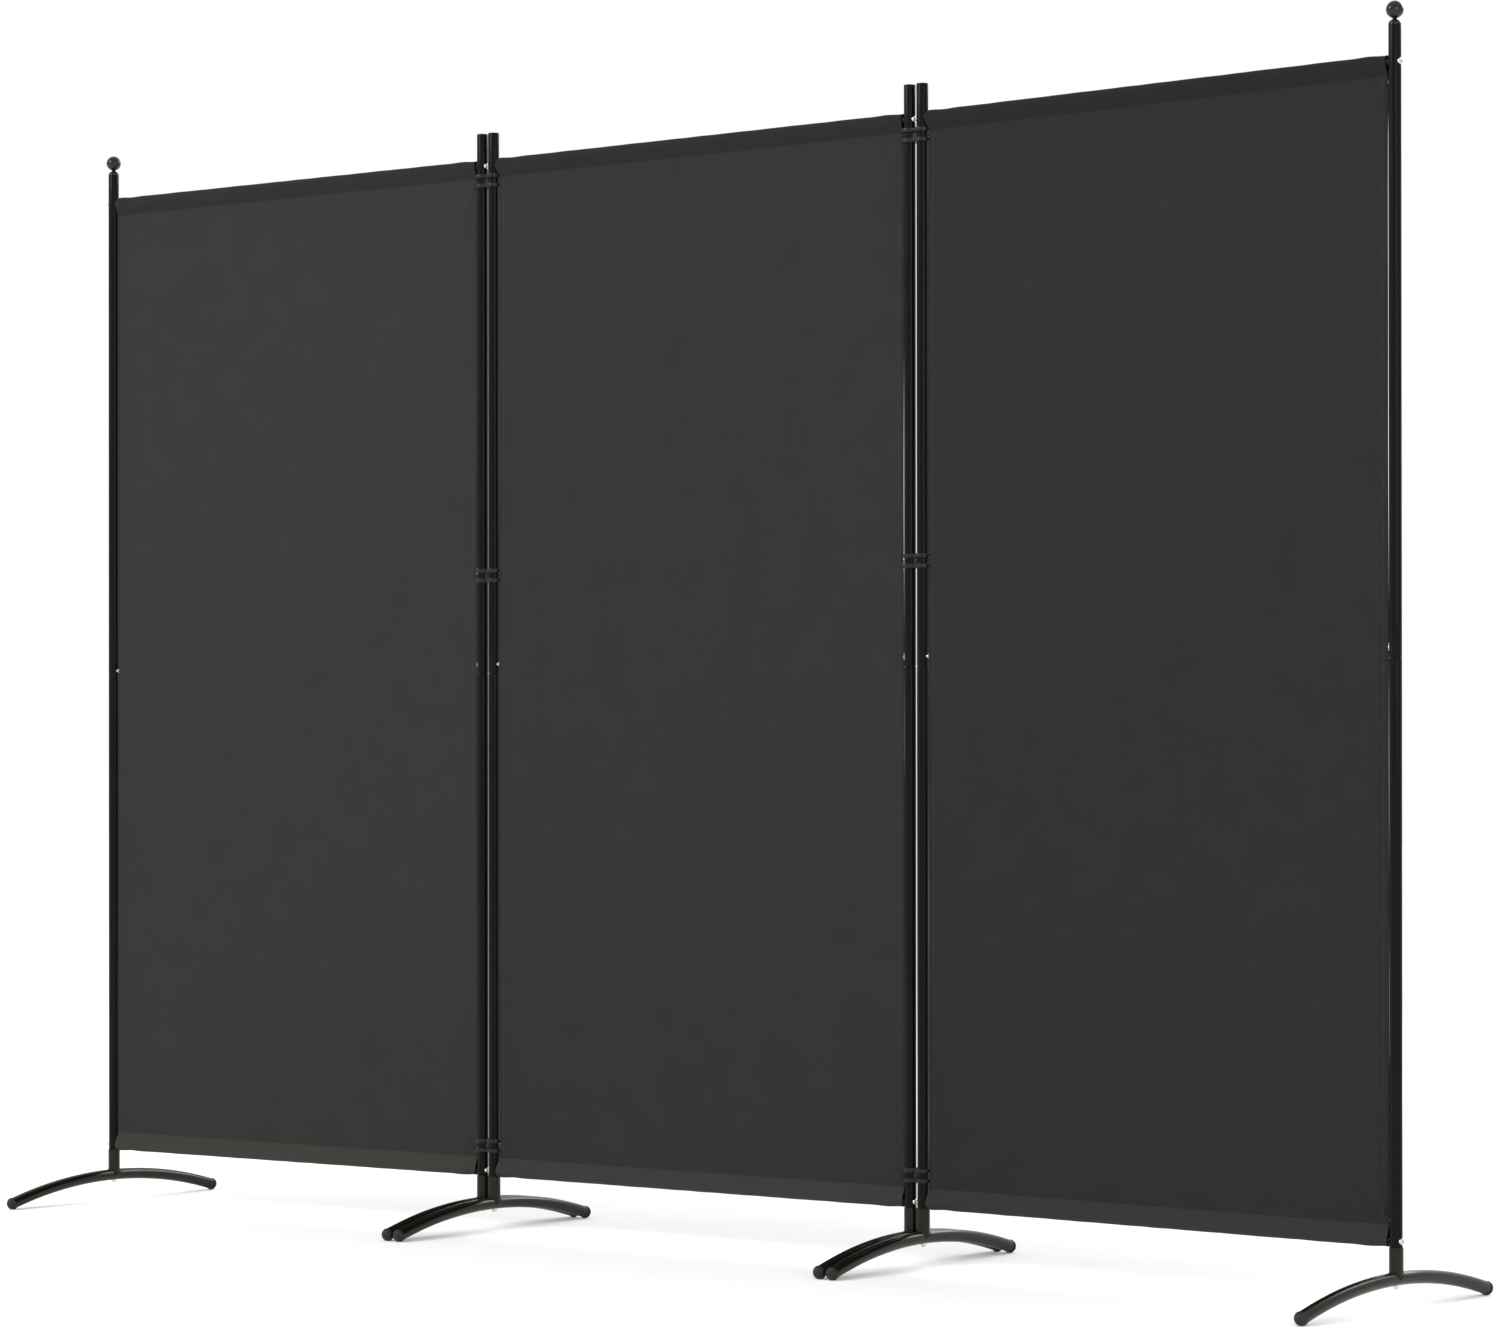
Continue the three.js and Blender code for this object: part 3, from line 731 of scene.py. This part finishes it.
def weldBead():
    # a rippled bead that follows the saddle where the socket meets the arched tube
    line = bpy.data.curves.new("bead", "CURVE")
    line.dimensions = "3D"
    line.bevel_depth = mm(1)
    line.bevel_resolution = 3
    spline = line.splines.new("POLY")
    spline.use_cyclic_u = True
    spline.points.add(foot["weldSteps"] - 1)
    for i, point in enumerate(spline.points):
        turn = 2 * math.pi * i / foot["weldSteps"]
        x, y = foot["socketOuter"] * math.cos(turn), foot["socketOuter"] * math.sin(turn)
        rise = math.sqrt(max(0, foot["radius"] ** 2 - x * x)) - y * y / (2 * archRadius)
        point.co = (mm(x * 1.01), mm(y * 1.01), mm(foot["rise"] + rise * 0.98 + 0.3), 1)
        point.radius = foot["weld"] * (1 + 0.1 * math.sin(foot["weldRipples"] * turn)
                                       + 0.05 * math.sin(5 * turn + 1))
    bead = bpy.data.objects.new("bead", line)
    bpy.context.scene.collection.objects.link(bead)
    mesh = bpy.data.meshes.new_from_object(bead.evaluated_get(bpy.context.evaluated_depsgraph_get()))
    bm = bmesh.new()
    bm.from_mesh(mesh)
    bpy.data.objects.remove(bead)
    bpy.data.curves.remove(line)
    bpy.data.meshes.remove(mesh)
    return bm


def capShape():
    # the back end's cap, cut flat where it stands on the floor
    lip, radius, groove = cap["lip"], cap["radius"], cap["groove"]
    ribs = []
    for i in range(3):
        base = -cap["stemDepth"] + 1.5 + 3.2 * i
        ribs += [(cap["stem"] - 0.6, base), (cap["stem"], base + 0.9), (cap["stem"] - 0.6, base + 1.8)]
    grooveSide = math.degrees(math.asin(groove / radius))
    outline = ([(0, -cap["stemDepth"])] + ribs + [(cap["stem"] - 0.3, 0.1), (radius - lip, 0.1)]
               + arc(lip, radius - lip, 0.1 + lip, -60, 0, 3)
               + arc(radius, 0, 0, 5, grooveSide - 1.5, 3)
               + arc(radius - 0.22, 0, 0, grooveSide - 0.8, grooveSide + 0.8, 1)
               + arc(radius, 0, 0, grooveSide + 1.5, 90, 16))
    bm = lathe(outline, cap["steps"])
    bmesh.ops.transform(bm, matrix=Matrix.Rotation(-math.pi / 2 - archAngle, 4, "X"), verts=bm.verts)
    bmesh.ops.translate(bm, vec=(0, mm(foot["run"]), mm(foot["endRise"])), verts=bm.verts)
    cut = bmesh.ops.bisect_plane(bm, geom=bm.verts[:] + bm.edges[:] + bm.faces[:], plane_co=(0, 0, 0),
                                 plane_no=(0, 0, 1), clear_inner=True)
    rim = [e for e in cut["geom_cut"] if isinstance(e, bmesh.types.BMEdge)]
    bmesh.ops.edgeloop_fill(bm, edges=rim)
    return stored(bm)


footShape = stored(joined([archedTube(), socketTube(), weldBead()]))
footCap = capShape()
under = (Matrix.Translation((0, 0, mm(foot["rise"] - foot["radius"])))
         @ Matrix.Rotation(math.pi, 4, "X"))
turnedBack = Matrix.Rotation(math.pi, 4, "Z")
for panel, side in posts:
    place = footFrame(panel, side)
    body = f"{panel}_{side}_foot"
    seat(meshObject(f"{body}_fine", copyAt(footShape, place), footCoat), body, [body])
    for end, turn in (("front", turnedBack), ("back", Matrix.Identity(4))):
        piece = meshObject(f"{body}_{end}_cap_fine", copyAt(footCap, place @ turn), capPlastic)
        seat(piece, body, [f"{body}_{end}_cap"])
    piece = meshObject(f"{body}_bolt", copyAt(footBolt, place @ under), brightZinc)
    seat(piece, body)
print("feet are on")


# Swivel clips: two figure-of-eight bands and the web between them, holding two posts

clip = {"bore": 9.2, "radius": 12.4, "height": 22, "band": 6.5, "waist": 13, "web": 8, "round": 0.9,
        "steps": 56}
spacing = (axisOf("middle_panel", "left") - axisOf("left_panel", "right")).length * 1000


def roundedBlock(length, depth, height, centre, roundness):
    bm = bmesh.new()
    size = Matrix.Diagonal((mm(length), mm(depth), mm(height), 1))
    bmesh.ops.create_cube(bm, size=1, matrix=Matrix.Translation([mm(c) for c in centre]) @ size)
    bmesh.ops.bevel(bm, geom=bm.edges[:], offset=mm(roundness), affect="EDGES", segments=3, profile=0.5,
                    material=-1)
    return bm


def clipShape():
    whole = roundedBlock(spacing, clip["web"], clip["height"] - 0.4, (spacing / 2, 0, 0), 0.8)
    lift = (clip["height"] - clip["band"]) / 2
    low, high, edge = -clip["band"] / 2, clip["band"] / 2, clip["round"]
    disc = ([(0, low)] + arc(edge, clip["radius"] - edge, low + edge, -90, 0, 4)
            + arc(edge, clip["radius"] - edge, high - edge, 0, 90, 4) + [(0, high)])
    for level in (-lift, lift):
        waist = roundedBlock(spacing, clip["waist"], clip["band"], (spacing / 2, 0, level), clip["round"])
        whole = combined(whole, waist, "UNION")
        for x in (0, spacing):
            place = Matrix.Translation((mm(x), 0, mm(level)))
            whole = combined(whole, lathe(disc, clip["steps"], place), "UNION")
    for x in (0, spacing):
        low, high = Vector((mm(x), 0, mm(-20))), Vector((mm(x), 0, mm(20)))
        whole = combined(whole, rodBetween(low, high, clip["bore"], clip["steps"]), "DIFFERENCE")
    return stored(whole)


swivelClip = clipShape()
junctions = {"left": (("left_panel", "right"), ("middle_panel", "left")),
             "right": (("middle_panel", "right"), ("right_panel", "left"))}
for junction, (first, second) in junctions.items():
    stand = standing(axisOf(*first), axisOf(*second))
    for level in ("bottom", "middle", "top"):
        node = f"{junction}_junction_{level}_clip"
        place = stand @ Matrix.Translation((0, 0, boxCentre(node).z))
        piece = meshObject(f"{node}_fine", copyAt(swivelClip, place), clipPlastic)
        seat(piece, f"{junction}_clips", [node])
print("swivel clips are on")


# Cloths: one length each, folded round both bars and sewn to itself as two sleeves

cloth = {"gap": 11.3, "rod": 8.8, "sleeve": 30, "face": 0.55, "tail": 6, "hem": 10, "thickness": 1.0,
         "clipPull": 1.5, "buttonPull": 0.9, "curl": 0.3, "hemLine": 8.8, "hemGroove": 0.3, "swell": 0.35,
         "edgeWander": 0.15, "seamGroove": 0.35}
# rows and columns stand close in the sleeves, the hems and beside the clips, and wide between
clothGrid = {"sleeveRow": 2.3, "seamRow": 2.0, "rowGrowth": 0.16, "widestRow": 13, "edgeStart": 18,
             "edgeEnd": 130, "edgeColumn": 4.5, "middleGap": 6, "middleColumns": 34,
             "hemColumns": [0, 0.4, 1.2, 3, 5.5, 7.4, 8.1, 8.8, 9.5, 10.2, 11.4, 14]}
stitch = {"pitch": 3.4, "length": 2.7, "thread": 0.62}
# painted light and shade on the sleeves: how bright each sleeve is painted beside the panel between them, the
# doubled top sleeve darker for the light that doesn't come through it, the bottom sleeve lighter where it
# tilts up to the light
sleeveLightAndShade = {"top": (0.74, 0.74, 0.74), "bottom": (1.5, 1.44, 1.38)}
# waves: height, width across, slant along, phase; creases: corner, height, reach, count, phase
hang = {
    "left_panel": {
        "slack": 3.0,
        "waves": [(0.7, 310, 2100, 0.4), (0.4, 187, -1500, 2.1)],
        "creases": [(-1, 1, 2.2, 70, 9, 0.5), (1, 1, 1.2, 50, 8, 1.9), (-1, -1, 1.0, 45, 8, 0.2),
                    (1, -1, 1.3, 50, 9, 2.4)]},
    "middle_panel": {
        "slack": 0.0,
        "waves": [(0.6, 350, -1900, 1.3), (0.35, 214, 1300, 0.2)],
        "creases": [(-1, 1, 1.3, 50, 8, 1.1), (1, 1, 1.3, 55, 9, 0.3), (-1, -1, 1.4, 55, 8, 2.0),
                    (1, -1, 1.2, 50, 9, 0.9)]},
    "right_panel": {
        "slack": 0.0,
        "waves": [(0.7, 290, 1700, 2.6), (0.45, 201, -2300, 0.9)],
        "creases": [(-1, 1, 1.3, 50, 9, 0.7), (1, 1, 1.5, 55, 8, 1.4), (-1, -1, 1.5, 55, 9, 1.8),
                    (1, -1, 3.0, 90, 9, 0.1)]}}
clothLow, clothHigh = (corner.z * 1000 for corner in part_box("middle_panel_cloth"))
seams = {"bottom": clothLow + cloth["sleeve"], "top": clothHigh - cloth["sleeve"]}
clothHalf = panelSpan * 500 - cloth["gap"]
# heights where a clip presses the cloth's edge in, and the sides of each panel that have clips
clipLevels = [boxCentre(f"left_junction_{level}_clip").z * 1000 for level in ("bottom", "middle", "top")]
clippedSides = {"left_panel": [1], "middle_panel": [-1, 1], "right_panel": [-1]}


def eased(values, start, end):
    share = np.clip((values - start) / (end - start), 0, 1)
    return share * share * (3 - 2 * share)


def clothOutline():
    # depth and height along the cloth's outer face, from the tail behind the bottom seam,
    # round the bottom bar, up the front, round the top bar and down behind the top seam
    face, rod, drop = cloth["face"], cloth["rod"], cloth["sleeve"] - cloth["rod"]
    back = face + 1
    half = [(-face, -8), (-face, -3), (-face - 0.05, 0), (-face - 1, 2.4), (-4.2, 7), (-6.7, 12), (-8.3, 17)]
    loop = [(-rod * math.cos(math.radians(a)), drop + rod * math.sin(math.radians(a)))
            for a in range(0, 181, 6)]
    rest = [(8.3, 17), (6.7, 12), (4.2, 7), (back + 0.4, 2.4), (back, 0), (back, -3), (back, -cloth["tail"])]
    upper = [(depth, seams["top"] + height) for depth, height in half + loop + rest]
    lower = [(depth, seams["bottom"] - height) for depth, height in reversed(half + loop + rest)]
    corners = np.array(lower + upper)
    reach = np.concatenate([[0], np.cumsum(np.hypot(*np.diff(corners, axis=0).T))])
    fine = np.arange(0, reach[-1], 0.25)
    depth, height = (np.interp(fine, reach, corners[:, i]) for i in (0, 1))
    kernel = np.exp(-0.5 * (np.arange(-16, 17) / 5) ** 2)
    kernel /= kernel.sum()
    depth, height = (np.convolve(np.pad(line, 16, mode="reflect", reflect_type="odd"), kernel, "valid")
                     for line in (depth, height))
    reach = np.concatenate([[0], np.cumsum(np.hypot(np.diff(depth), np.diff(height)))])
    return reach, depth, height


def clothRows(reach, height):
    # places along the outline: close together in the sleeves, wide apart down the middle
    rows = [0.0]
    while rows[-1] < reach[-1]:
        here = np.interp(rows[-1], reach, height)
        near = min(abs(here - level) for level in [*seams.values(), *clipLevels, buttonHeight * 1000])
        step = min(clothGrid["widestRow"], clothGrid["seamRow"] + clothGrid["rowGrowth"] * near)
        if not seams["bottom"] < here < seams["top"]:
            step = clothGrid["sleeveRow"]
        rows.append(rows[-1] + step)
    return np.array(rows[:-1] + [reach[-1]])


def clothColumns():
    # places across the cloth: close together at the hems, wide apart in the middle
    edgePlaces = np.arange(clothGrid["edgeStart"], clothGrid["edgeEnd"], clothGrid["edgeColumn"])
    edge = clothGrid["hemColumns"] + list(edgePlaces)
    middle = np.linspace(edge[-1] + clothGrid["middleGap"], clothHalf, clothGrid["middleColumns"])
    side = np.array(edge + list(middle))
    return np.concatenate([side - clothHalf, (clothHalf - side)[-2::-1]])


def drape(panel, across, height):
    # how far a point of the cloth moves sideways and forward or back, in millimetres
    depth = np.minimum(height - seams["bottom"], seams["top"] - height)
    inside = eased(depth, 6, 90)
    forward = np.zeros_like(across)
    for rise, width, slant, phase in hang[panel]["waves"]:
        forward += rise * inside * np.sin(2 * math.pi * (across / width + height / slant) + phase)
    for side, end, rise, length, count, phase in hang[panel]["creases"]:
        level = seams["top"] if end > 0 else seams["bottom"]
        dx, dz = clothHalf - side * across, end * (level - height)
        spread = np.hypot(dx, dz)
        turn = np.arctan2(np.maximum(dz, 0), np.maximum(dx, 0.01))
        fold = np.sin(count * turn + phase + 0.6 * np.sin(spread / 21))
        forward += rise * fold * np.exp(-spread / length) * eased(spread, 3, 22) * eased(dz, 0.5, 14)
    edge = clothHalf - np.abs(across)
    forward -= cloth["curl"] * np.exp(-edge / 5) * inside * np.sin(height / 97 + 1.3 * np.sign(across))
    pull = cloth["edgeWander"] * inside * np.sin(height / 61 + across / 300)
    held = np.isin(np.sign(across), clippedSides[panel])
    for level in clipLevels:
        bands = np.abs(np.abs(height - level) - (clip["height"] - clip["band"]) / 2)
        pull += held * cloth["clipPull"] * eased(-bands, -5.2, -3.5)
    pull += cloth["buttonPull"] * eased(-np.abs(height - buttonHeight * 1000), -5, -3.2)
    pull += hang[panel]["slack"] * (across < 0) * eased(height, seams["top"] + 6, clothHigh)
    return -np.sign(across) * pull * np.exp(-edge / 60), forward


def sewLine(start, end, outward):
    # a row of stitches from start to end, as across and height in millimetres
    pitch, thread = stitch["pitch"], mm(stitch["thread"])
    first, last = Vector((mm(start[0]), 0, mm(start[1]))), Vector((mm(end[0]), 0, mm(end[1])))
    count = int((last - first).length / mm(pitch))
    along = (last - first).normalized()
    turn = along.to_track_quat("X", "Z").to_matrix().to_4x4()
    size = Matrix.Diagonal((mm(stitch["length"]), thread, thread, 1))
    row = bmesh.new()
    bmesh.ops.create_icosphere(row, subdivisions=1, radius=0.5,
                               matrix=Matrix.Translation(first + along * mm(pitch / 2)) @ turn @ size)
    made = 1
    while made < count:
        share = min(made, count - made)
        extra = bmesh.ops.duplicate(row, geom=row.verts[:share * 12] + row.edges[:share * 30]
                                    + row.faces[:share * 20])
        new = [v for v in extra["geom"] if isinstance(v, bmesh.types.BMVert)]
        bmesh.ops.translate(row, vec=along * mm(pitch) * made, verts=new)
        made += share
    bmesh.ops.translate(row, vec=(0, mm(outward), 0), verts=row.verts)
    return row


def settle(mesh, panel, place):
    # moves a flat piece with the cloth and stands it in the panel
    spots = np.empty(len(mesh.vertices) * 3)
    mesh.vertices.foreach_get("co", spots)
    spots = spots.reshape(-1, 3) * 1000
    aside, forward = drape(panel, spots[:, 0], spots[:, 2])
    spots[:, 0] += aside
    spots[:, 1] += forward
    mesh.vertices.foreach_set("co", (spots / 1000).ravel())
    mesh.transform(place)
    mesh.update()


def buildCloth(panel):
    reach, depths, heights = clothOutline()
    rows, columns = clothRows(reach, heights), clothColumns()
    depth, height = np.interp(rows, reach, depths), np.interp(rows, reach, heights)
    bm = bmesh.new()
    bmesh.ops.create_grid(bm, x_segments=len(columns) - 1, y_segments=len(rows) - 1, size=1)
    mesh = bpy.data.meshes.new(f"{panel}_cloth_fine")
    bm.to_mesh(mesh)
    bm.free()
    count = len(mesh.vertices)
    grid = np.empty(count * 3)
    mesh.vertices.foreach_get("co", grid)
    grid = grid.reshape(-1, 3)
    column = np.rint((grid[:, 0] + 1) / 2 * (len(columns) - 1)).astype(int)
    row = np.rint((grid[:, 1] + 1) / 2 * (len(rows) - 1)).astype(int)
    across, along = columns[column], rows[row]
    slope = np.stack([np.gradient(depth, rows), np.gradient(height, rows)], 1)
    slope /= np.linalg.norm(slope, axis=1)[:, None]
    outside = np.maximum(height - seams["top"], seams["bottom"] - height)
    swell = eased(outside[row], 3, 14) * cloth["swell"]
    edge = clothHalf - np.abs(across)
    ripple = (np.sin(across / 13.7 + 1.9 * np.sin(across / 61)) + 0.6 * np.sin(across / 7.3)) * (
        0.35 + 1.3 * np.exp(-edge / 45))
    hemDip = cloth["hemGroove"] * np.exp(-((edge - cloth["hemLine"]) / 0.9) ** 2) * (swell < 0.01)
    puff = swell * ripple - hemDip
    groove = cloth["seamGroove"] * np.exp(-(outside[row] / 1.6) ** 2)
    spots = np.stack([across, depth[row] - slope[row, 1] * (puff - groove),
                      height[row] + slope[row, 0] * puff], 1)
    mesh.vertices.foreach_set("co", (spots / 1000).ravel())
    layer = mesh.uv_layers.new(name="cloth")
    corner = np.empty(len(mesh.loops), dtype=np.int32)
    mesh.loops.foreach_get("vertex_index", corner)
    flat = np.stack([across[corner], along[corner]], 1) / 1000
    layer.data.foreach_set("uv", flat.ravel())
    # painted light and shade on the sleeves: a colour scale that darkens the top sleeve and lightens the
    # bottom one, eased in at each seam
    tone = mesh.color_attributes.new("sleevePaintedLight", "FLOAT_COLOR", "POINT")
    top = eased(height[row] - seams["top"], -0.6, 0.6)[:, None]
    bottom = eased(seams["bottom"] - height[row], -0.6, 0.6)[:, None]
    colours = np.ones((count, 4))
    topSleeveShade, bottomSleeveLight = (np.array(sleeveLightAndShade[level]) - 1 for level in ("top", "bottom"))
    colours[:, :3] += top * topSleeveShade + bottom * bottomSleeveLight
    tone.data.foreach_set("color", colours.ravel())
    pull = mesh.attributes.new("seamPull", "FLOAT", "POINT")
    pull.data.foreach_set("value", np.exp(-np.abs(outside[row]) / 16))
    mesh.polygons.foreach_set("use_smooth", [True] * len(mesh.polygons))
    place = panelFrame(panel)
    settle(mesh, panel, place)
    piece = bpy.data.objects.new(f"{panel}_cloth_fine", mesh)
    mesh.materials.append(clothLitMaterials[panel])
    bpy.context.scene.collection.objects.link(piece)
    hem = piece.vertex_groups.new(name="hem")
    hem.add([int(i) for i in np.flatnonzero(edge < cloth["hem"])], 1.0, "REPLACE")
    body = piece.modifiers.new("body", "SOLIDIFY")
    body.thickness, body.offset = mm(cloth["thickness"]), -1
    body.vertex_group, body.thickness_vertex_group = "hem", 0.5
    seat(piece, panel, [f"{panel}_cloth"])

    inset = clothHalf - cloth["hemLine"]
    low, high, face = seams["bottom"], seams["top"], cloth["face"]
    lines = [sewLine((-clothHalf + 2, level), (clothHalf - 2, level), depth)
             for level in (low, high) for depth in (-face + 0.2, face + 0.85)]
    lines += [sewLine((side * inset, low + 2), (side * inset, high - 2), depth)
              for side in (-1, 1) for depth in (-face + 0.25, face + 0.05)]
    sewing = bpy.data.meshes.new(f"{panel}_stitches")
    whole = joined(lines)
    whole.to_mesh(sewing)
    whole.free()
    settle(sewing, panel, place)
    stitches = bpy.data.objects.new(f"{panel}_stitches", sewing)
    sewing.materials.append(sewingThread)
    bpy.context.scene.collection.objects.link(stitches)
    seat(stitches, panel)


for panel in panelNames:
    buildCloth(panel)
print("cloths are sewn on")
